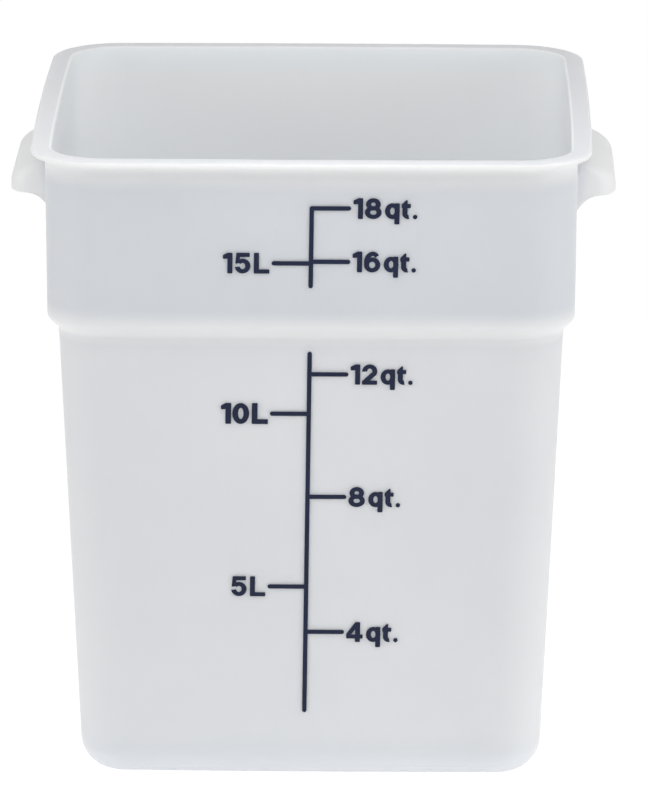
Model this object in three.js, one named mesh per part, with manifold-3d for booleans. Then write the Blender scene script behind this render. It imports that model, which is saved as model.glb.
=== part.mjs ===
// Square food storage container: an open tub moulded in one piece of polyethylene, with a shouldered
// collar, a flat rim and a hooded hand grip on two sides, and a fill scale printed on its front wall.
// Millimetres, +Z up. The origin is the middle of the base, on the table, and the scale faces -Y.

import * as THREE from "three";
import { mergeVertices } from "three/addons/utils/BufferGeometryUtils.js";
import Module from "manifold-3d";

const wasm = await Module();
wasm.setup();

// Tub
const height = 321.5; // table to rim
const collarDepth = 85; // rim down to the top of the shoulder
const shoulderRise = 6; // height of the shoulder's slope
const collarWidth = 263; // under the lip, side to side at the middle of the sides
const collarTaper = 0.5; // each side draws in this much down the collar
const shoulderStep = 5.5; // each side steps in this much at the shoulder
const bodyTaper = 10; // each side draws in this much from the shoulder to the table
const wall = 3.2;
const floorThickness = 3.5;
const footRecess = 1.5; // the underside is raised inside a flat foot ring
const footWidth = 10;
const recessSlope = 3;
const lipOverhang = 7;
const lipThickness = 3.3;
const sideBow = 1; // each side bulges this much between its corners

// Corner radii seen from above
const collarCorner = 29;
const lowerTopCorner = 25;
const baseCorner = 22;
const tightestCorner = 5;

// Roundings seen in section
const baseRounding = 17;
const shoulderRounding = 3;
const underLipRounding = 2.5;
const lipEdgeRounding = 1.4;
const mouthRounding = 1.2;

// Hand grips: a hood on each side wall, open below for the fingers
const gripTop = 21; // rim down to where the hood leaves the wall
const gripHeight = 16.5;
const gripReach = 20; // out from the wall
const gripLength = 90; // end to end, before its ends flare into the wall
const gripCorner = 10; // round corners of its lip, seen from above
const gripFillet = 9; // hollow curve from each end into the wall
const gripDroop = 6; // how far the lower edge falls where it meets the wall
const gripSkirt = 4; // upright part of the hood above its lower edge
const gripWall = 3;
const gripRootSink = 0.4; // the hood's feathered edges lie this deep in the wall

// Printed scale
const inkThickness = 0.2;
const inkGap = 0.05;
const lineWidth = 2.2;
const stemWidth = 2.5; // upright strokes of the figures
const barWidth = 2.1; // level strokes of the figures
const stopWidth = 2.2;
const inkSpread = 0.35; // strokes of the boldest label are this much broader
const inkCorner = 0.4; // the figures' corners have run this round
const figureHeight = 10.4;
const letterGap = 0.9;
const unitGap = 1.6; // from a number to its unit
const tickLength = 19.2; // from the middle of the scale line
const labelGap = 1; // from a tick's end to its figures
const printOffset = -0.1; // the print sits this far to one side of the wall's middle
const printLean = 0.79; // degrees that the scale lines lean, while their ticks stay level

// Depths on the scale: the upper line and its marks are measured below the rim,
// the lower ones below the foot of the shoulder
const quarts18 = 23.7;
const quarts16 = 50.5;
const litres15 = 51.4;
const upperLineEnd = 62.8;
const lowerLineStart = 7.5;
const quarts12 = 18;
const litres10 = 38.4;
const quarts8 = 81.3;
const litres5 = 128.2;
const quarts4 = 151.9;
const lowerLineEnd = 193.3;

// Facets
const sideSegments = 6;
const cornerSegments = 6;
const baseSegments = 5; // rounding of the base
const edgeSegments = 2; // each smaller rounding
const gripRows = 7;
const gripSegments = 4; // each corner and fillet
const penSegments = 5; // round end of a scale line or a tick
const arcSegments = 16; // each curved stroke
const loopSegments = 28; // each closed curve

// Quarts are marked to the right of a scale line and litres to the left
const right = 1;
const left = -1;
const upperMarks = [
  { label: "18qt.", depth: quarts18, side: right },
  { label: "16qt.", depth: quarts16, side: right },
  { label: "15L", depth: litres15, side: left },
];
const lowerMarks = [
  { label: "12qt.", depth: quarts12, side: right },
  { label: "10L", depth: litres10, side: left, bold: true },
  { label: "8qt.", depth: quarts8, side: right },
  { label: "5L", depth: litres5, side: left },
  { label: "4qt.", depth: quarts4, side: right },
];

// Heights, and half widths at the middle of the sides
const shoulderTop = height - collarDepth;
const shoulderFoot = shoulderTop - shoulderRise;
const lipUnderside = height - lipThickness;
const floorHeight = footRecess + floorThickness;
const collarTopHalf = collarWidth / 2;
const collarBottomHalf = collarTopHalf - collarTaper;
const lowerTopHalf = collarBottomHalf - shoulderStep;
const baseHalf = lowerTopHalf - bodyTaper; // where the wall would meet the table without its rounding
const rimHalf = collarTopHalf + lipOverhang;

const turned = (length, angle) => new THREE.Vector2(Math.cos(angle), Math.sin(angle)).multiplyScalar(length);

// Polyline through [x, y, rounding, segments] corners, with each rounding as an arc
function rounded(corners) {
  const points = [];
  corners.forEach(([x, y, radius, segments = edgeSegments], i) => {
    const corner = new THREE.Vector2(x, y);
    if (!radius) {
      points.push(corner);
      return;
    }
    const toLast = new THREE.Vector2(...corners[i - 1]).sub(corner).normalize();
    const toNext = new THREE.Vector2(...corners[i + 1]).sub(corner).normalize();
    const halfAngle = Math.acos(THREE.MathUtils.clamp(toLast.dot(toNext), -1, 1)) / 2;
    const inward = toLast.clone().add(toNext).normalize();
    const centre = corner.clone().addScaledVector(inward, radius / Math.sin(halfAngle));
    const tangent = radius / Math.tan(halfAngle);
    const from = corner.clone().addScaledVector(toLast, tangent).sub(centre).angle();
    const to = corner.clone().addScaledVector(toNext, tangent).sub(centre).angle();
    const turn = THREE.MathUtils.euclideanModulo(to - from + Math.PI, 2 * Math.PI) - Math.PI;
    for (let k = 0; k <= segments; k++) {
      points.push(turned(radius, from + (turn * k) / segments).add(centre));
    }
  });
  return points;
}

// Where the corner arcs are centred, as a distance from the middle, at a height
const cornerCentres = [
  [0, baseHalf - sideBow - baseCorner],
  [shoulderFoot, lowerTopHalf - sideBow - lowerTopCorner],
  [shoulderTop, collarBottomHalf - sideBow - collarCorner],
  [lipUnderside, collarTopHalf - sideBow - collarCorner],
];

function cornerCentre(z) {
  const next = cornerCentres.findIndex(([level]) => level > z);
  if (next < 0) return cornerCentres.at(-1)[1];
  const [[z0, centre0], [z1, centre1]] = cornerCentres.slice(next - 1, next + 1);
  return THREE.MathUtils.mapLinear(z, z0, z1, centre0, centre1);
}

// Square with bowed sides and round corners, all tangent, at one height
function squareRing(half, z) {
  const corner = Math.max(half - sideBow - cornerCentre(z), tightestCorner);
  const centre = half - sideBow - corner;
  const span = (centre ** 2 + sideBow ** 2) / (2 * sideBow); // between a side arc's centre and a corner's
  const radius = span + corner;
  const swing = Math.asin(centre / span);
  const side = new THREE.EllipseCurve(half - radius, 0, radius, radius, -swing, swing);
  const turn = new THREE.EllipseCurve(centre, centre, corner, corner, swing, Math.PI / 2 - swing);
  const runs = [side.getPoints(sideSegments), turn.getPoints(cornerSegments)];
  const quarter = runs.flatMap((run) => run.slice(0, -1));
  const points = [];
  for (let k = 0; k < 4; k++) {
    for (const p of quarter) {
      const q = p.clone().rotateAround(new THREE.Vector2(), (k * Math.PI) / 2);
      points.push(new THREE.Vector3(q.x, q.y, z));
    }
  }
  return { centre: new THREE.Vector3(0, 0, z), points };
}

// Closed skin over a stack of rings, with a fan over the first and the last
function loft(rings) {
  const count = rings[0].points.length;
  const positions = [rings[0].centre, ...rings.flatMap((ring) => ring.points), rings.at(-1).centre];
  const last = positions.length - 1;
  const index = [];
  for (let i = 0; i < count; i++) {
    const j = (i + 1) % count;
    index.push(0, 1 + j, 1 + i);
    for (let row = 0; row < rings.length - 1; row++) {
      const a = 1 + row * count;
      const b = a + count;
      index.push(a + i, a + j, b + j, a + i, b + j, b + i);
    }
    index.push(last, last - count + i, last - count + j);
  }
  return new THREE.BufferGeometry().setFromPoints(positions).setIndex(index);
}

function solidOf(geometry) {
  geometry.deleteAttribute("normal");
  geometry.deleteAttribute("uv");
  const merged = mergeVertices(geometry);
  const vertProperties = merged.attributes.position.array;
  const triVerts = new Uint32Array(merged.index.array);
  return new wasm.Manifold(new wasm.Mesh({ numProp: 3, vertProperties, triVerts }));
}

function geometryOf(solid) {
  const mesh = solid.getMesh();
  const geometry = new THREE.BufferGeometry();
  geometry.setAttribute("position", new THREE.BufferAttribute(mesh.vertProperties, mesh.numProp));
  geometry.setIndex(new THREE.BufferAttribute(mesh.triVerts, 1));
  geometry.computeVertexNormals();
  return geometry;
}

// Corners of the outer wall in section, moved out by an offset
function outerWall(offset) {
  return [
    [baseHalf + offset, 0, baseRounding, baseSegments],
    [lowerTopHalf + offset, shoulderFoot, shoulderRounding],
    [collarBottomHalf + offset, shoulderTop, shoulderRounding],
  ];
}

// The tub's whole section: underside, outer wall, lip, inner wall, floor
function tubSolid() {
  const foot = baseHalf - baseRounding - footWidth;
  const lift = wall * Math.tan(Math.atan2(shoulderRise, shoulderStep) / 2);
  const innerBaseHalf = baseHalf - wall + (bodyTaper * floorHeight) / shoulderFoot;
  const lipRounding = Math.min(lipEdgeRounding, lipThickness * 0.45);
  const section = rounded([
    [foot - recessSlope, footRecess],
    [foot, 0],
    ...outerWall(0),
    [collarTopHalf, lipUnderside, underLipRounding],
    [rimHalf, lipUnderside, lipRounding],
    [rimHalf, height, lipRounding],
    [collarTopHalf - wall, height, mouthRounding],
    [collarBottomHalf - wall, shoulderTop + lift, shoulderRounding],
    [lowerTopHalf - wall, shoulderFoot + lift, shoulderRounding],
    [innerBaseHalf, floorHeight, baseRounding - wall, baseSegments],
    [foot, floorHeight],
  ]);
  return solidOf(loft(section.map((p) => squareRing(p.x, p.y))));
}

// Level section of a grip's hood: a bump on the side wall whose ends flare into it
function gripRing({ reach, end, corner, fillet, back }, level, share, droop) {
  const rise = (level - shoulderTop) / (lipUnderside - shoulderTop);
  const wallHalf = THREE.MathUtils.lerp(collarBottomHalf, collarTopHalf, rise);
  const outline = rounded([
    [0, reach],
    [end, reach, corner, gripSegments],
    [end, 0, fillet, gripSegments],
    [end + fillet * 2, 0],
  ]).slice(1, -1);
  const half = outline.map(({ x: y, y: out }) => {
    const root = wallHalf - sideBow * (y / cornerCentre(level)) ** 2 - gripRootSink;
    const fall = droop * (1 - out / reach) ** 3;
    return new THREE.Vector3(root + (out + gripRootSink) * share, y, level - fall);
  });
  const edge = [...half.map((p) => new THREE.Vector3(p.x, -p.y, p.z)).reverse(), ...half];
  const ends = [edge.at(-1), edge[0]].map((p) => new THREE.Vector3(wallHalf - back, p.y, p.z));
  return { centre: new THREE.Vector3(wallHalf - back, 0, level), points: [...edge, ...ends] };
}

// Quarter-round hood standing on an upright skirt
function hood(size, lowest, rise) {
  const skirtTop = height - gripTop - gripHeight + gripSkirt;
  const rings = [gripRing(size, lowest, 1, gripDroop)];
  for (let k = 0; k <= gripRows; k++) {
    const angle = (k / gripRows) * (Math.PI / 2);
    const droop = gripDroop * (1 - k / gripRows);
    rings.push(gripRing(size, skirtTop + rise * Math.sin(angle), Math.cos(angle), droop));
  }
  return loft(rings);
}

// Hood with its finger hollow, turned about the tub's axis
function gripSolid(turn) {
  const lowest = height - gripTop - gripHeight;
  const rise = gripHeight - gripSkirt;
  const outside = {
    reach: gripReach,
    end: gripLength / 2,
    corner: gripCorner,
    fillet: Math.min(gripFillet, gripReach - gripCorner),
    back: wall / 2,
  };
  const inside = {
    reach: gripReach - gripWall,
    end: gripLength / 2 - gripWall,
    corner: gripCorner - gripWall,
    fillet: gripWall,
    back: wall,
  };
  const hollow = hood(inside, lowest - gripDroop, rise - gripWall).rotateZ(turn);
  return solidOf(hood(outside, lowest, rise).rotateZ(turn)).subtract(solidOf(hollow));
}

// Stroke with round ends, as a flat shape
function roundStroke(from, to) {
  const heading = to.clone().sub(from).angle();
  const outline = [];
  for (const [end, facing] of [[to, heading], [from, heading + Math.PI]]) {
    for (let k = 0; k <= penSegments; k++) {
      outline.push(turned(lineWidth / 2, facing + (k / penSegments - 0.5) * Math.PI).add(end));
    }
  }
  return new THREE.Shape(outline);
}

// Figures lie on a grid whose unit is the height from the middle of the lowest stroke to that of the highest
const unit = figureHeight - barWidth;

// Straight-sided stroke through [x, y, rounding] corners
function patch(...corners) {
  const placed = corners.map(([x, y, rounding = inkCorner]) => [x * unit, y * unit, rounding]);
  const around = [placed.at(-1).slice(0, 2), ...placed, placed[0].slice(0, 2)];
  return new THREE.Shape(rounded(around).slice(1, -1));
}

function alphabet(spread) {
  const stem = (stemWidth + spread) / 2 / unit; // half an upright stroke
  const bar = (barWidth + spread) / 2 / unit; // half a level one

  const slab = (x0, y0, x1, y1) =>
    patch([x0 - stem, y0 - bar], [x1 + stem, y0 - bar], [x1 + stem, y1 + bar], [x0 - stem, y1 + bar]);
  const upright = (x, low, high) => slab(x, low, x, high);
  const level = (y, from, to) => slab(from, y, to, y);

  // One edge of a curved stroke: the outer for side 1, the inner for side -1
  const edge = (side, x, y, radiusX, radiusY, from, to, segments) => {
    const [start, end] = [from, to].map(THREE.MathUtils.degToRad);
    const sizes = [x, y, radiusX + side * stem, radiusY + side * bar].map((value) => value * unit);
    return new THREE.EllipseCurve(...sizes, start, end, end < start).getPoints(segments);
  };
  const arc = (...turn) => {
    const outer = edge(1, ...turn, arcSegments);
    const inner = edge(-1, ...turn, arcSegments);
    return new THREE.Shape([...outer, ...inner.reverse()]);
  };
  const loop = (...oval) => {
    const ring = new THREE.Shape(edge(1, ...oval, 0, 360, loopSegments).slice(1));
    ring.holes.push(new THREE.Path(edge(-1, ...oval, 0, 360, loopSegments).slice(1)));
    return ring;
  };
  const dot = () => new THREE.Shape().absarc(0, 0, stopWidth / 2, 0, 2 * Math.PI);

  return {
    0: { name: "0", width: 0.66, strokes: [loop(0.33, 0.5, 0.33, 0.5)] },
    1: {
      name: "1",
      width: 0.27,
      strokes: [
        upright(0.27, 0, 1),
        patch([-stem, 0.75], [0.27, 0.77, 0], [0.27, 1 + bar, 0], [0.29 - stem, 1 + bar], [-stem, 0.98]),
      ],
    },
    2: {
      name: "2",
      width: 0.6,
      strokes: [
        arc(0.3, 0.7, 0.3, 0.3, 183, -42),
        patch([0.63, 0.43, 0], [0.4, 0.62, 0], [-0.13, 0.1, 0], [0.08, -0.1, 0]),
        level(0, 0, 0.6),
      ],
    },
    4: {
      name: "4",
      width: 0.69,
      strokes: [
        upright(0.53, 0, 1),
        level(0.22, 0, 0.69),
        patch(
          [-stem, 0.2, 0],
          [-stem, 0.38],
          [0.39, 1 + bar],
          [0.6, 1 + bar, 0],
          [0.6, 0.97, 0],
          [0.06, 0.22, 0],
        ),
      ],
    },
    5: {
      name: "5",
      width: 0.65,
      strokes: [
        level(1, 0.1, 0.6),
        patch([-0.1, 0.45], [0.14, 0.5, 0], [0.2, 1, 0], [0.1 - stem, 1, 0]),
        arc(0.335, 0.32, 0.315, 0.32, 140, -172),
      ],
    },
    6: {
      name: "6",
      width: 0.66,
      strokes: [loop(0.33, 0.325, 0.33, 0.325), arc(0.35, 0.5, 0.35, 0.5, 195, 42)],
    },
    8: { name: "8", width: 0.68, strokes: [loop(0.34, 0.755, 0.285, 0.245), loop(0.34, 0.265, 0.34, 0.265)] },
    L: { name: "L", width: 0.62, strokes: [upright(0, 0, 1), level(0, 0, 0.62)] },
    q: { name: "q", width: 0.56, strokes: [loop(0.285, 0.35, 0.285, 0.35), upright(0.56, -0.32, 0.7)] },
    t: {
      name: "t",
      width: 0.24,
      strokes: [
        patch([0.05 - stem, 0.2, 0], [0.05 + stem, 0.2, 0], [0.05 + stem, 1.1], [0.05 - stem, 0.8, 0]),
        level(0.66, 0, 0.24),
        arc(0.25, 0.2, 0.2, 0.2, 180, 280),
      ],
    },
    ".": { name: "stop", width: 0, strokes: [dot()] },
  };
}
const figures = alphabet(0);
const boldFigures = alphabet(inkSpread);

const moved = (shape, x, y) => {
  const shift = (p) => p.clone().add(new THREE.Vector2(x, y));
  const copy = new THREE.Shape(shape.getPoints(loopSegments).map(shift));
  copy.holes = shape.holes.map((hole) => new THREE.Path(hole.getPoints().map(shift)));
  return copy;
};

// Ink lies in a thin skin just outside the wall, cut to the print's outline
function wallBlock(offset) {
  const section = rounded([
    [0, 0],
    ...outerWall(offset),
    [collarTopHalf + offset, lipUnderside],
  ]).slice(1);
  return solidOf(loft(section.map((p) => squareRing(p.x, p.y))));
}
const inkSkin = wallBlock(inkGap + inkThickness).subtract(wallBlock(inkGap));

// Flat shapes, in the print's own x and height above the foot of the shoulder, as ink on the front wall
function inkSolid(shapes) {
  const lean = new THREE.Matrix4().makeShear(0, 0, Math.tan(THREE.MathUtils.degToRad(printLean)), 0, 0, 0);
  const place = new THREE.Matrix4().makeRotationX(Math.PI / 2);
  place.setPosition(printOffset, 0, shoulderFoot).multiply(lean);
  const solids = shapes.map((shape) => {
    const block = new THREE.ExtrudeGeometry(shape, { depth: rimHalf, bevelEnabled: false });
    return solidOf(block.applyMatrix4(place));
  });
  return solids.reduce((all, solid) => all.add(solid)).intersect(inkSkin);
}

const polyethylene = new THREE.MeshStandardMaterial({ color: 0xdcdee0, roughness: 0.38, metalness: 0 });
const ink = new THREE.MeshStandardMaterial({ color: 0x23273d, roughness: 0.5, metalness: 0 });

function piece(name, solid, material) {
  const mesh = new THREE.Mesh(geometryOf(solid), material);
  mesh.name = name;
  return mesh;
}

// A scale line with its ticks
function scaleLine(name, marks, from, to) {
  const shapes = [roundStroke(new THREE.Vector2(0, from), new THREE.Vector2(0, to))];
  for (const { level, side } of marks) {
    const tip = new THREE.Vector2(side * (tickLength - lineWidth / 2), level);
    shapes.push(roundStroke(new THREE.Vector2(0, level), tip));
  }
  return piece(name, inkSolid(shapes), ink);
}

// A mark's figures, centred on its tick and starting or ending next to it
function markLabel({ label, level, side, bold }) {
  const starts = [];
  let length = -letterGap;
  for (const character of label) {
    length += "qL".includes(character) ? unitGap : letterGap;
    starts.push(length);
    length += figures[character].width * unit + stemWidth;
  }
  const nearest = tickLength + labelGap;
  const origin = side > 0 ? nearest : -nearest - length;
  const group = new THREE.Group();
  [...label].forEach((character, i) => {
    const { name, strokes } = (bold ? boldFigures : figures)[character];
    const x = origin + starts[i] + stemWidth / 2;
    const shapes = strokes.map((shape) => moved(shape, x, level - unit / 2));
    group.add(piece(`mark_${label.replace(".", "")}_${name}`, inkSolid(shapes), ink));
  });
  return group;
}

function printedScale() {
  const rimLevel = height - shoulderFoot;
  const upper = upperMarks.map((mark) => ({ ...mark, level: rimLevel - mark.depth }));
  const lower = lowerMarks.map((mark) => ({ ...mark, level: -mark.depth }));
  const scale = new THREE.Group();
  scale.add(scaleLine("scale_line_upper", upper, rimLevel - quarts18, rimLevel - upperLineEnd));
  scale.add(scaleLine("scale_line_lower", lower, -lowerLineStart, -lowerLineEnd));
  for (const mark of [...upper, ...lower]) scale.add(markLabel(mark));
  return scale;
}

const container = new THREE.Group();
const tub = tubSolid().add(gripSolid(0)).add(gripSolid(Math.PI));
container.add(piece("container_body", tub, polyethylene));
container.add(printedScale());

export default container;
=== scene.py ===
import math

import bpy
import numpy as np
from mathutils import Matrix, Vector


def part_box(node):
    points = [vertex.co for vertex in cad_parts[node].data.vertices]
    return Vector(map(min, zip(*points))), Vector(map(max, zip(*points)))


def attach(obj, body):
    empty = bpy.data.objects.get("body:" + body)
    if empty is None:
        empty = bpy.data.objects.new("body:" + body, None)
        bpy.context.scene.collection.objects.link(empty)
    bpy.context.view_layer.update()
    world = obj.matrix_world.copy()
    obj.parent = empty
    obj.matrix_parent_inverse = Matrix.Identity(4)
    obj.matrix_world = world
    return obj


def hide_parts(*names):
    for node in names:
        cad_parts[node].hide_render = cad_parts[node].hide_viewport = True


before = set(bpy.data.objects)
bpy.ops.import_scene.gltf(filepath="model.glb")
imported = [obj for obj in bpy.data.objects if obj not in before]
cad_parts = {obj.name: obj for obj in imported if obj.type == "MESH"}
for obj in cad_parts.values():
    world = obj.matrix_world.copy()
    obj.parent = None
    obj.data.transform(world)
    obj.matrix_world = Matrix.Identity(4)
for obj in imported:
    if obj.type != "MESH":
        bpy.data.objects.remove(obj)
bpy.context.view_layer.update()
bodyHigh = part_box("container_body")[1]
scene = bpy.context.scene
scene.view_settings.view_transform = "Standard"
print("frame loaded:", len(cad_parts), "nodes")


# camera of the photograph: degrees, metres, and pixels of its 648 x 800 frame
photoCamera = {
    "azimuth": 0.9,
    "elevation": 15.4,
    "roll": 0.1,
    "distance": 3.474,
    "target": (0, 0, 0.1541),
    "targetPixel": (314.0, 421.5),
    "photoSize": (648, 800),
    "focalPixels": 6807,
    "sensor": 36.0,
    "clipEnd": 50,
}


def makeCamera(c):
    az, el = math.radians(c["azimuth"]), math.radians(c["elevation"])
    away = Vector((math.sin(az) * math.cos(el), -math.cos(az) * math.cos(el), math.sin(el)))
    roll = Matrix.Rotation(math.radians(c["roll"]), 4, "Z")
    turn = away.to_track_quat("Z", "Y").to_matrix().to_4x4() @ roll
    data = bpy.data.cameras.new("photo_camera")
    wide, tall = c["photoSize"]
    data.sensor_fit = "VERTICAL"
    data.sensor_height = c["sensor"]
    data.lens = c["focalPixels"] / tall * c["sensor"]
    data.shift_x = (wide / 2 - c["targetPixel"][0]) / tall
    data.shift_y = (c["targetPixel"][1] - tall / 2) / tall
    data.clip_end = c["clipEnd"]
    camera = bpy.data.objects.new("photo_camera", data)
    camera.matrix_world = Matrix.Translation(Vector(c["target"]) + away * c["distance"]) @ turn
    scene.collection.objects.link(camera)
    scene.camera = camera


makeCamera(photoCamera)
print("camera placed")


# the moulded tub: metres, half widths taken at the middle of a side
tubShape = {
    "height": bodyHigh.z,
    "rimHalf": bodyHigh.y,
    "collarHalf": 0.1315,
    "collarDepth": 0.085,
    "collarTaper": 0.0005,
    "shoulderRise": 0.006,
    "shoulderStep": 0.0055,
    "bodyTaper": 0.010,
    "wall": 0.0032,
    "floor": 0.0035,
    "footRecess": 0.0015,
    "footWidth": 0.010,
    "recessSlope": 0.003,
    "lip": 0.0033,
    "bow": 0.001,
    "collarCorner": 0.029,
    "lowerCorner": 0.025,
    "baseCorner": 0.022,
    "tightestCorner": 0.005,
    "baseRound": 0.017,
    "shoulderRound": 0.003,
    "underLipRound": 0.005,
    "lipRound": 0.0014,
    "mouthRound": 0.0012,
    "recessRound": 0.0012,
    "roundSteps": 6,
    "baseSteps": 14,
    "innerBaseSteps": 12,
    "recessSteps": 3,
    "straightStep": 0.012,
    "cornerColumns": 18,
    "sideColumns": 9,
    "poleShare": 0.2,  # innermost ring, as a share of the foot's half width
    "nearRim": 1e-6,  # rows this close to the top count as the rim's flat
}

# the hooded hand grip on the left and right walls: metres, the top measured below the rim
gripShape = {
    "top": 0.021,
    "height": 0.0165,
    "reach": 0.020,
    "length": 0.090,
    "corner": 0.010,
    "fillet": 0.009,
    "droop": 0.007,
    "droopFrom": 0.65,  # the lower edge sinks where it reaches out less than this share
    "skirt": 0.004,
    "wall": 0.003,
    "edgeRound": 0.0012,
    "rootRound": 0.0022,
    "below": 0.009,  # the wall's own rows give way to the hood's from here
    "above": 0.005,  # up to here
    "closedShare": 0.6,  # how far out the rows of the closed underside go, of the reach
    "edgeShare": 0.4,  # most that the lower edge is rounded, of its thickness
    "rootShare": 0.6,  # most that the root is rounded, of the reach
    "columnGap": 0.01,  # keeps the columns of corner and flare apart, of the rounding
    "leastSpread": 0.02,  # keeps the rows apart where the flare ends
    "lipColumns": 6,
    "cornerColumns": 11,
    "wallRows": 9,
    "turnRows": 9,
    "edgeRows": 5,
    "archRows": 13,
    "rootRows": 4,
}


nearlyStraight = 1.57  # half a corner's angle in radians, past which it needs no arc
fewestSteps = 3  # of a straight, before its length adds more


# a section through (half width, height, rounding, arc steps): each corner becomes an arc, and each
# straight gets points bunched towards its ends, so that smooth shading stays flat in between
def sectionPath(corners, straightStep):
    spots = np.array([c[:2] for c in corners], float)
    arcs = [spots[:1]]
    for i in range(1, len(corners) - 1):
        radius, steps = (list(corners[i][2:]) + [0, 0])[:2]
        back, ahead = spots[i - 1] - spots[i], spots[i + 1] - spots[i]
        back, ahead = back / np.linalg.norm(back), ahead / np.linalg.norm(ahead)
        half = math.acos(np.clip(back @ ahead, -1, 1)) / 2
        if radius == 0 or half > nearlyStraight:
            arcs.append(spots[i : i + 1])
            continue
        middle = (back + ahead) / np.linalg.norm(back + ahead)
        centre = spots[i] + middle * radius / math.sin(half)
        share = np.linspace(-1, 1, steps + 1)[:, None] * (math.pi / 2 - half)
        side = (ahead - back) / np.linalg.norm(ahead - back)
        arcs.append(centre + radius * (np.sin(share) * side - np.cos(share) * middle))
    arcs.append(spots[-1:])
    points = [arcs[0]]
    for here, following in zip(arcs, arcs[1:]):
        length = np.linalg.norm(following[0] - here[-1])
        count = fewestSteps + int(length / straightStep)
        share = 0.5 - 0.5 * np.cos(np.linspace(0, math.pi, count + 1))[1:-1, None]
        points += [here[-1] + (following[0] - here[-1]) * share, following]
    path = np.concatenate(points)
    return path[:, 0], path[:, 1]


# half of a grip's outline seen from above, as distance along the wall and reach out from it:
# straight lip, round corner, hollow flare into the wall, plain wall up to the tub's corner
def gripOutline(g, sideSpan, wallColumns):
    end = g["length"] / 2
    quarter = np.linspace(0, math.pi / 2, g["cornerColumns"])
    lip = np.linspace(0, end - g["corner"], g["lipColumns"])[:-1]
    corner = end - g["corner"] + (1 - g["columnGap"]) * g["corner"] * np.sin(quarter)
    flare = end + g["fillet"] * (1 + g["columnGap"] - np.cos(quarter))
    plain = flare[-1] + (sideSpan - flare[-1]) * np.linspace(0, 1, wallColumns + 1)[1:]
    along = np.concatenate([lip, corner, flare, plain])
    reach = np.concatenate([
        np.full(len(lip), g["reach"]),
        g["reach"] - g["corner"] * (1 - np.cos(quarter)),
        g["fillet"] * (1 - np.sin(quarter)),
        np.zeros(len(plain)),
    ])
    return along, reach


# rows of the hood for every column: up the wall behind the fingers, over and down the hollow, round the
# lower edge, up the outside and over a quarter ellipse back to the wall. The hollow ends in a quarter of a
# vault. Past it the underside is closed and sinks as the reach fades, and on the plain wall the rows spread
def gripRows(g, top, along, reach):
    lowest = top - g["top"] - g["height"]
    rise = g["height"] - g["skirt"]
    start, stop = lowest - g["below"], top - g["top"] + g["above"]
    vaultFoot = g["length"] / 2 - g["corner"]
    inCorner = g["corner"] - g["wall"]
    fall = g["droop"] * np.clip(1 - reach / (g["droopFrom"] * g["reach"]), 0, 1) ** 2
    low = lowest - fall
    vault = np.sqrt(1 - np.clip((along - vaultFoot) / inCorner, 0, 1) ** 2)
    deepest = g["reach"] - g["corner"] + inCorner * vault
    inner = np.where(vault > 0, deepest, np.minimum(deepest, g["closedShare"] * reach))
    edge = np.minimum(g["edgeRound"], g["edgeShare"] * (reach - inner))
    root = np.minimum(g["rootRound"], g["rootShare"] * reach)
    column = lambda first, last, n: np.linspace(first, last, n)[:, None]
    # hollow side
    up = 1 - column(1, 0, g["wallRows"] + 1)[1:] ** 2
    turn = column(math.pi / 2, 0, g["turnRows"] + 1)[1:]
    down = column(0.5, 1, 2)
    ceiling = (rise - g["wall"]) * vault
    sideTop = low + g["skirt"] * vault
    vaultOut = np.concatenate([np.cos(turn), np.ones_like(down)])
    closedOut = column(0, 1, len(vaultOut) + 1)[1:]
    inOut = np.concatenate([0 * up * inner, (vault * vaultOut + (1 - vault) * closedOut) * inner])
    inZ = np.concatenate([
        start + (sideTop + ceiling - start) * up,
        sideTop + ceiling * np.sin(turn),
        sideTop + (low + edge * vault - sideTop) * down,
    ])
    # lower edge, outside and root
    sweep = column(0, math.pi / 2, g["edgeRows"])
    inSweep = sweep[1:-1]
    edgeIn = inner + edge * (1 - np.cos(inSweep))
    edgeInZ = low + edge * (1 - np.sin(inSweep)) * vault
    edgeOut = reach - edge * (1 - np.sin(sweep))
    edgeOutZ = low + edge * (1 - np.cos(sweep))
    rootPart = np.divide(root, reach, out=0 * reach, where=reach > 0)
    arch = column(0, 1, g["archRows"]) * np.arccos(rootPart)
    archOut = reach * np.cos(arch)
    archZ = low + g["skirt"] + fall * arch / (math.pi / 2) + rise * np.sin(arch)
    sink = column(0, math.pi / 2, g["rootRows"] + 1)[1:]
    sinkOut = root * (1 - np.sin(sink))
    sinkZ = archZ[-1:] + root * (1 - np.cos(sink))
    out = np.concatenate([inOut, edgeIn, edgeOut, archOut, sinkOut])
    z = np.concatenate([inZ, edgeInZ, edgeOutZ, archZ, sinkZ])
    even = start + (stop - start) * column(0, 1, len(z) + 2)[1:-1]
    wallFrom = along[reach <= 0][0]
    spread = np.clip((along - wallFrom) / (along[-1] - wallFrom), 0, 1)
    spread = g["leastSpread"] + (1 - g["leastSpread"]) * spread * spread * (3 - 2 * spread)
    spread = np.where(reach > 0, 0, spread)
    return out, (1 - spread) * z + spread * even, start, stop


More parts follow.
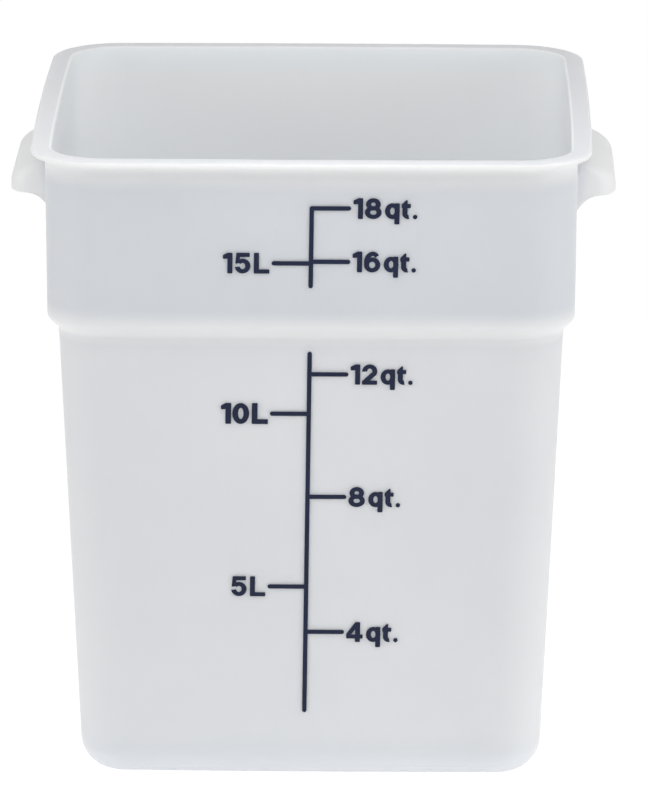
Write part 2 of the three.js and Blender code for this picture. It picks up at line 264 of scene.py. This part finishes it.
# the tub as one closed surface: rows follow the section from the underside up the outer wall, over the rim
# and down the inner wall to the floor, columns go round a square with bowed sides and round corners
def tubSurface(t, g):
    height = t["height"]
    shoulderTop = height - t["collarDepth"]
    shoulderFoot = shoulderTop - t["shoulderRise"]
    lipUnder = height - t["lip"]
    floorTop = t["footRecess"] + t["floor"]
    collarFoot = t["collarHalf"] - t["collarTaper"]
    lowerTop = collarFoot - t["shoulderStep"]
    base = lowerTop - t["bodyTaper"]
    foot = base - t["baseRound"] - t["footWidth"]
    lift = t["wall"] * math.tan(math.atan2(t["shoulderRise"], t["shoulderStep"]) / 2)
    innerBase = base - t["wall"] + t["bodyTaper"] * floorTop / shoulderFoot
    collarAt = lambda z: collarFoot + t["collarTaper"] * (z - shoulderTop) / (lipUnder - shoulderTop)
    centreAt = lambda z: np.interp(
        z,
        [0, shoulderFoot, shoulderTop, lipUnder],
        [
            base - t["bow"] - t["baseCorner"],
            lowerTop - t["bow"] - t["lowerCorner"],
            collarFoot - t["bow"] - t["collarCorner"],
            t["collarHalf"] - t["bow"] - t["collarCorner"],
        ],
    )
    sideSpan = centreAt(height - g["top"])
    along, reach = gripOutline(g, sideSpan, t["sideColumns"])
    gripOut, gripZ, gripStart, gripStop = gripRows(g, height, along, reach)
    steps = t["roundSteps"]

    lowHalf, lowZ = sectionPath([
        (foot * t["poleShare"], t["footRecess"]),
        (foot - t["recessSlope"], t["footRecess"], t["recessRound"], t["recessSteps"]),
        (foot, 0, t["recessRound"], t["recessSteps"]),
        (base, 0, t["baseRound"], t["baseSteps"]),
        (lowerTop, shoulderFoot, t["shoulderRound"], steps),
        (collarFoot, shoulderTop, t["shoulderRound"], steps),
        (collarAt(gripStart), gripStart),
    ], t["straightStep"])
    highHalf, highZ = sectionPath([
        (collarAt(gripStop), gripStop),
        (t["collarHalf"], lipUnder, t["underLipRound"], steps),
        (t["rimHalf"], lipUnder, t["lipRound"], steps),
        (t["rimHalf"], height, t["lipRound"], steps),
        (t["collarHalf"] - t["wall"], height, t["mouthRound"], steps),
        (collarFoot - t["wall"], shoulderTop + lift, t["shoulderRound"], steps),
        (lowerTop - t["wall"], shoulderFoot + lift, t["shoulderRound"], steps),
        (innerBase, floorTop, t["baseRound"] - t["wall"], t["innerBaseSteps"]),
        (foot * t["poleShare"], floorTop),
    ], t["straightStep"])

    # columns: a side from corner to corner as shares of its half span, then a corner as shares of its turn
    half = along / sideSpan
    sideShare = np.concatenate([-half[:0:-1], half])[:-1]
    cornerShare = np.linspace(0, 1, t["cornerColumns"] + 1)[:-1]
    quarterShare = np.concatenate([sideShare, cornerShare])
    onSide = np.arange(len(quarterShare)) < len(sideShare)
    share, onSide = np.tile(quarterShare, 4), np.tile(onSide, 4)
    quarter = np.repeat(np.arange(4), len(quarterShare))
    columns = len(share)

    # heights and half widths of every row, with the hoods on the right and left sides
    plainZ = np.linspace(gripStart, gripStop, len(gripZ) + 2)[1:-1]
    z = np.repeat(np.concatenate([lowZ, plainZ, highZ])[:, None], columns, 1)
    out = np.zeros_like(z)
    hoodRows = np.arange(len(lowZ), len(lowZ) + len(gripZ))
    mirrored = lambda rows: np.concatenate([rows[:, :0:-1], rows], 1)[:, :-1]
    for side in (0, 2):
        here = np.nonzero(onSide & (quarter == side))[0]
        z[np.ix_(hoodRows, here)] = mirrored(gripZ)
        out[np.ix_(hoodRows, here)] = mirrored(gripOut)
    halfWidth = np.concatenate([lowHalf, 0 * plainZ, highHalf])[:, None] + 0 * z
    halfWidth[hoodRows] = collarAt(z[hoodRows])

    # each ring: side arcs of large radius tangent to the corner arcs
    corner = np.maximum(halfWidth - t["bow"] - centreAt(z), t["tightestCorner"])
    centre = halfWidth - t["bow"] - corner
    span = (centre ** 2 + t["bow"] ** 2) / (2 * t["bow"])
    swing = np.arcsin(centre / span)
    angle = np.where(onSide, share * swing, swing + share * (math.pi / 2 - 2 * swing))
    radius = np.where(onSide, span + corner, corner)
    x = np.where(onSide, halfWidth - span - corner, centre) + radius * np.cos(angle) + out
    y = np.where(onSide, 0, centre) + radius * np.sin(angle)
    cosine, sine = np.cos(quarter * math.pi / 2), np.sin(quarter * math.pi / 2)
    grid = np.stack([x * cosine - y * sine, x * sine + y * cosine, z], -1)
    onRim = np.nonzero(highZ > height - t["nearRim"])[0]
    mouthRow = len(lowZ) + len(plainZ) + onRim[-1]
    return grid.reshape(-1, 3), len(z), columns, mouthRow, t["footRecess"], floorTop


def makeTub():
    points, rows, columns, mouthRow, underside, floorTop = tubSurface(tubShape, gripShape)
    poles = len(points) + np.arange(2)
    points = np.concatenate([points, [[0, 0, underside], [0, 0, floorTop]]])
    i = np.arange(columns)
    j = (i + 1) % columns
    row = np.arange(rows - 1)[:, None] * columns
    quads = np.stack([row + i, row + j, row + columns + j, row + columns + i], -1).reshape(-1, 4)
    last = (rows - 1) * columns
    fans = np.concatenate([
        np.stack([np.full(columns, poles[0]), j, i], -1),
        np.stack([np.full(columns, poles[1]), last + i, last + j], -1),
    ])
    mesh = bpy.data.meshes.new("tub_shell")
    mesh.from_pydata(points.tolist(), [], quads.tolist() + fans.tolist())
    mesh.polygons.foreach_set("use_smooth", np.ones(len(mesh.polygons), bool))
    # slot 0 outside, slot 1 from the mouth down to the floor
    inside = np.repeat(np.arange(rows - 1) >= mouthRow, columns)
    mesh.materials.append(None)
    mesh.materials.append(None)
    slots = np.concatenate([inside, np.zeros(columns), np.ones(columns)]).astype(int)
    mesh.polygons.foreach_set("material_index", slots)
    mesh.update()
    shell = bpy.data.objects.new("tub_shell", mesh)
    scene.collection.objects.link(shell)
    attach(shell, "root")
    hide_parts("container_body")
    print("tub:", rows, "rows x", columns, "columns")
    return shell


tub = makeTub()


def link(tree, source, target):
    tree.links.new(source, target)


def addNode(tree, kind, **settings):
    node = tree.nodes.new(kind)
    for name, value in settings.items():
        setattr(node, name, value)
    return node


def addNoise(tree, vector, scale, detail):
    noise = addNode(tree, "ShaderNodeTexNoise")
    noise.inputs["Scale"].default_value = scale
    noise.inputs["Detail"].default_value = detail
    link(tree, vector, noise.inputs["Vector"])
    return noise.outputs["Fac"]


def addRange(tree, value, low, high, fromLow=0.3, fromHigh=0.7):
    spread = addNode(tree, "ShaderNodeMapRange")
    for name, number in (("From Min", fromLow), ("From Max", fromHigh), ("To Min", low), ("To Max", high)):
        spread.inputs[name].default_value = number
    link(tree, value, spread.inputs["Value"])
    return spread.outputs["Result"]


def addMath(tree, operation, first, second):
    node = addNode(tree, "ShaderNodeMath", operation=operation)
    for socket, value in zip(node.inputs, (first, second)):
        if isinstance(value, (int, float)):
            socket.default_value = value
        else:
            link(tree, value, socket)
    return node.outputs["Value"]


# 0 at one value and 1 at the other, eased at both ends
def addEase(tree, value, zeroAt, oneAt):
    ease = addNode(tree, "ShaderNodeMapRange", interpolation_type="SMOOTHSTEP")
    ease.inputs["From Min"].default_value = zeroAt
    ease.inputs["From Max"].default_value = oneAt
    link(tree, value, ease.inputs["Value"])
    return ease.outputs["Result"]


def addBlend(tree, share, first, second):
    blend = addNode(tree, "ShaderNodeMix", data_type="RGBA")
    blend.inputs["A"].default_value = (*first, 1)
    blend.inputs["B"].default_value = (*second, 1)
    link(tree, share, blend.inputs["Factor"])
    return blend.outputs["Result"]


# surface left by the mould: a fine grain over a broad faint unevenness, as a height and a cloudiness
mouldLook = {
    "grainDetail": 3,
    "cloudDetail": 4,
    "cloudRoughness": 0.55,
    "cloudWeight": 4,
}


def makeMouldGrain(m):
    group = bpy.data.node_groups.new("mould_grain", "ShaderNodeTree")
    face = group.interface
    face.new_socket("Vector", in_out="INPUT", socket_type="NodeSocketVector")
    face.new_socket("Grain Scale", in_out="INPUT", socket_type="NodeSocketFloat")
    face.new_socket("Cloud Scale", in_out="INPUT", socket_type="NodeSocketFloat")
    face.new_socket("Height", in_out="OUTPUT", socket_type="NodeSocketFloat")
    face.new_socket("Cloud", in_out="OUTPUT", socket_type="NodeSocketFloat")
    inside = addNode(group, "NodeGroupInput")
    outside = addNode(group, "NodeGroupOutput")
    grain = addNode(group, "ShaderNodeTexNoise")
    grain.inputs["Detail"].default_value = m["grainDetail"]
    cloud = addNode(group, "ShaderNodeTexNoise")
    cloud.inputs["Detail"].default_value = m["cloudDetail"]
    cloud.inputs["Roughness"].default_value = m["cloudRoughness"]
    link(group, inside.outputs["Vector"], grain.inputs["Vector"])
    link(group, inside.outputs["Vector"], cloud.inputs["Vector"])
    link(group, inside.outputs["Grain Scale"], grain.inputs["Scale"])
    link(group, inside.outputs["Cloud Scale"], cloud.inputs["Scale"])
    height = addNode(group, "ShaderNodeMath", operation="MULTIPLY_ADD")
    height.inputs[1].default_value = m["cloudWeight"]
    link(group, cloud.outputs["Fac"], height.inputs[0])
    link(group, grain.outputs["Fac"], height.inputs[2])
    link(group, height.outputs["Value"], outside.inputs["Height"])
    link(group, cloud.outputs["Fac"], outside.inputs["Cloud"])
    return group


mouldGrain = makeMouldGrain(mouldLook)


def startMaterial(name, p):
    material = bpy.data.materials.new(name)
    material.use_nodes = True
    tree = material.node_tree
    shader = tree.nodes["Principled BSDF"]
    coords = addNode(tree, "ShaderNodeTexCoord").outputs["Object"]
    grain = addNode(tree, "ShaderNodeGroup", node_tree=mouldGrain)
    grain.inputs["Grain Scale"].default_value = p["grainScale"]
    grain.inputs["Cloud Scale"].default_value = p["cloudScale"]
    link(tree, coords, grain.inputs["Vector"])
    bump = addNode(tree, "ShaderNodeBump")
    bump.inputs["Distance"].default_value = p["bumpDistance"]
    link(tree, grain.outputs["Height"], bump.inputs["Height"])
    link(tree, bump.outputs["Normal"], shader.inputs["Normal"])
    return material, tree, shader, coords, grain.outputs["Cloud"]


# white polyethylene: satin, and light passes into the wall. Over its plain tone, painted light makes it
# whiter
# # at the lip and just below it, along the shoulder, in the hand grips and a little in the lower wall. Metres
plasticLook = {
    "thin": (0.717, 0.737, 0.769),
    # painted light: the whiter tone that the zones ease towards
    "paintedLightShade": (0.962, 0.968, 0.976),
    "lowerShare": 0.35,
    "rimShare": 0.1,
    "shoulderShare": 0.85,
    "gripShare": 0.88,
    "cloudiness": 0.12,
    "lipFade": 0.014,
    "rimEdge": 0.0012,
    "shoulderFade": 0.013,
    "lowerFade": (0.002, -0.006),  # from the middle of the shoulder
    "baseFade": 0.028,
    "gripFade": (0.1312, 0.1395),
    "gripTop": 0.010,
    "roughness": (0.36, 0.44),
    "satinScale": 70,
    "satinDetail": 3,
    "ior": 1.51,
    "specular": 0.1,
    "forward": 0.3,  # how far light in the plastic keeps its direction
    "scatterDepth": 0.007,
    "grainScale": 900,
    "cloudScale": 11,
    "bumpDistance": 0.00002,
}
# the same plastic seen from inside, with painted light that makes it whiter all over, and painted shade that
# makes it a little darker near the top of the inner wall, along the shoulder and in the lower wall
insideLook = dict(plasticLook, thin=(0.932, 0.966, 1.0), paintedLightShade=(0.887, 0.925, 0.968))


# share of the painted light tone, whiter outside and darker inside: each zone eases in on height or on
# distance from the middle, the strongest counts
def addPaintedLight(tree, coords, p, t):
    place = addNode(tree, "ShaderNodeSeparateXYZ")
    link(tree, coords, place.inputs["Vector"])
    height = place.outputs["Z"]
    lipUnder = t["height"] - t["lip"]
    belowLip = addEase(tree, height, lipUnder - p["lipFade"], lipUnder)
    underRim = addEase(tree, height, t["height"], t["height"] - p["rimEdge"])
    lip = addMath(tree, "MULTIPLY", belowLip, addMath(tree, "MAXIMUM", underRim, p["rimShare"]))
    shoulder = t["height"] - t["collarDepth"] - t["shoulderRise"] / 2
    offShoulder = addMath(tree, "ABSOLUTE", addMath(tree, "SUBTRACT", height, shoulder), 0)
    onShoulder = addEase(tree, offShoulder, p["shoulderFade"], 0)
    step = addMath(tree, "MULTIPLY", onShoulder, p["shoulderShare"])
    outward = addEase(tree, addMath(tree, "ABSOLUTE", place.outputs["X"], 0), *p["gripFade"])
    belowRim = addEase(tree, height, t["height"], t["height"] - p["gripTop"])
    grip = addMath(tree, "MULTIPLY", addMath(tree, "MULTIPLY", outward, belowRim), p["gripShare"])
    belowShoulder = addEase(tree, height, *(shoulder + offset for offset in p["lowerFade"]))
    offBase = addEase(tree, height, 0, p["baseFade"])
    lower = addMath(tree, "MULTIPLY", addMath(tree, "MINIMUM", offBase, belowShoulder), p["lowerShare"])
    upperZones = addMath(tree, "MAXIMUM", lip, step)
    return addMath(tree, "MAXIMUM", upperZones, addMath(tree, "MAXIMUM", grip, lower))


def makePlastic(name, p, t):
    material, tree, shader, coords, cloud = startMaterial(name, p)
    uneven = addRange(tree, cloud, 0, p["cloudiness"])
    share = addMath(tree, "ADD", addPaintedLight(tree, coords, p, t), uneven)
    # base colour: the plain tone with the zones' painted light (painted shade on the inside), plus a random
    # cloudy unevenness
    link(tree, addBlend(tree, share, p["thin"], p["paintedLightShade"]), shader.inputs["Base Color"])
    satin = addNoise(tree, coords, p["satinScale"], p["satinDetail"])
    link(tree, addRange(tree, satin, *p["roughness"]), shader.inputs["Roughness"])
    shader.inputs["IOR"].default_value = p["ior"]
    shader.inputs["Specular IOR Level"].default_value = p["specular"]
    shader.inputs["Subsurface Weight"].default_value = 1.0
    shader.inputs["Subsurface Radius"].default_value = (1.0, 1.0, 1.0)
    shader.inputs["Subsurface Scale"].default_value = p["scatterDepth"]
    shader.inputs["Subsurface Anisotropy"].default_value = p["forward"]
    return material


# navy ink laid on through a fine mesh: tone a little uneven, the moulded grain showing through
inkLook = {
    "full": (0.012, 0.017, 0.046),
    "thin": (0.017, 0.024, 0.057),
    "roughness": (0.48, 0.62),
    "meshScale": 1600,
    "meshDetail": 2,
    "ior": 1.5,
    "specular": 0.2,
    "grainScale": 900,
    "cloudScale": 60,
    "bumpDistance": 0.00002,
}


def makeInk(p):
    material, tree, shader, coords, cloud = startMaterial("ink_navy", p)
    tone = addBlend(tree, addRange(tree, cloud, 0, 1), p["full"], p["thin"])
    link(tree, tone, shader.inputs["Base Color"])
    weave = addNoise(tree, coords, p["meshScale"], p["meshDetail"])
    link(tree, addRange(tree, weave, *p["roughness"]), shader.inputs["Roughness"])
    shader.inputs["IOR"].default_value = p["ior"]
    shader.inputs["Specular IOR Level"].default_value = p["specular"]
    return material


tub.data.materials[0] = makePlastic("polyethylene_white", plasticLook, tubShape)
tub.data.materials[1] = makePlastic("polyethylene_inside", insideLook, tubShape)
ink = makeInk(inkLook)
for name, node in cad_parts.items():
    if name != "container_body":
        node.data.materials.clear()
        node.data.materials.append(ink)
print("materials on the tub and", len(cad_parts) - 1, "printed pieces")


# white table that glows softly around the middle, white surroundings, a soft light above and one at each side
stageLook = {
    "tableHalf": 4.0,
    "tableTop": -0.0002,
    "tableColour": (0.88, 0.88, 0.88),
    "tableRoughness": 0.9,
    "tableGlow": 0.37,
    "glowCentre": (0, -0.15, 0),
    "glowFade": (1.2, 0.3),
    "seenWhite": 1.08,
    "seenShare": 0.90,
    "fill": 0.44,
    "roomWhite": 1.0,
}
lightAim = (0, 0, 0.2)
softLights = {
    "top_light": {"place": (0, -0.3, 0.67), "size": 0.35, "watts": 1.12},
    "left_light": {"place": (-1.3, -0.4, 0.4), "size": 0.7, "watts": 3.1},
    "right_light": {"place": (1.3, -0.4, 0.4), "size": 0.7, "watts": 4.2},
}


# 1 for what is seen directly, in a gloss or through something clear, 0 for light that falls on things
def addSeen(tree):
    rays = addNode(tree, "ShaderNodeLightPath")
    direct = addMath(tree, "MAXIMUM", rays.outputs["Is Camera Ray"], rays.outputs["Is Glossy Ray"])
    return addMath(tree, "MAXIMUM", direct, rays.outputs["Is Transmission Ray"])


def makeStage(s):
    h, z = s["tableHalf"], s["tableTop"]
    mesh = bpy.data.meshes.new("table")
    mesh.from_pydata([(-h, -h, z), (h, -h, z), (h, h, z), (-h, h, z)], [], [(0, 1, 2, 3)])
    table = bpy.data.objects.new("table", mesh)
    scene.collection.objects.link(table)
    material = bpy.data.materials.new("table_white")
    material.use_nodes = True
    tree = material.node_tree
    shader = tree.nodes["Principled BSDF"]
    shader.inputs["Base Color"].default_value = (*s["tableColour"], 1)
    shader.inputs["Roughness"].default_value = s["tableRoughness"]
    shader.inputs["Specular IOR Level"].default_value = 0
    reach = addNode(tree, "ShaderNodeVectorMath", operation="DISTANCE")
    reach.inputs[1].default_value = s["glowCentre"]
    link(tree, addNode(tree, "ShaderNodeTexCoord").outputs["Object"], reach.inputs[0])
    nearMiddle = addEase(tree, reach.outputs["Value"], *s["glowFade"])
    glow = addMath(tree, "MULTIPLY", nearMiddle, s["tableGlow"])
    shader.inputs["Emission Color"].default_value = (1, 1, 1, 1)
    link(tree, glow, shader.inputs["Emission Strength"])
    white = addNode(tree, "ShaderNodeEmission")
    white.inputs["Strength"].default_value = s["seenWhite"]
    mix = addNode(tree, "ShaderNodeMixShader")
    link(tree, addMath(tree, "MULTIPLY", addSeen(tree), s["seenShare"]), mix.inputs["Fac"])
    link(tree, shader.outputs["BSDF"], mix.inputs[1])
    link(tree, white.outputs["Emission"], mix.inputs[2])
    link(tree, mix.outputs["Shader"], tree.nodes["Material Output"].inputs["Surface"])
    mesh.materials.append(material)

    world = bpy.data.worlds.new("white_room")
    world.use_nodes = True
    scene.world = world
    tree = world.node_tree
    level = addRange(tree, addSeen(tree), s["fill"], s["roomWhite"], 0, 1)
    link(tree, level, tree.nodes["Background"].inputs["Strength"])
    tree.nodes["Background"].inputs["Color"].default_value = (1, 1, 1, 1)


def makeLight(name, spec):
    data = bpy.data.lights.new(name, "AREA")
    data.size = spec["size"]
    data.energy = spec["watts"]
    lamp = bpy.data.objects.new(name, data)
    lamp.visible_camera = False
    place = Vector(spec["place"])
    aim = Vector(lightAim) - place
    lamp.matrix_world = Matrix.Translation(place) @ aim.to_track_quat("-Z", "Y").to_matrix().to_4x4()
    scene.collection.objects.link(lamp)


makeStage(stageLook)
for name, spec in softLights.items():
    makeLight(name, spec)
print("stage and", len(softLights), "lights")
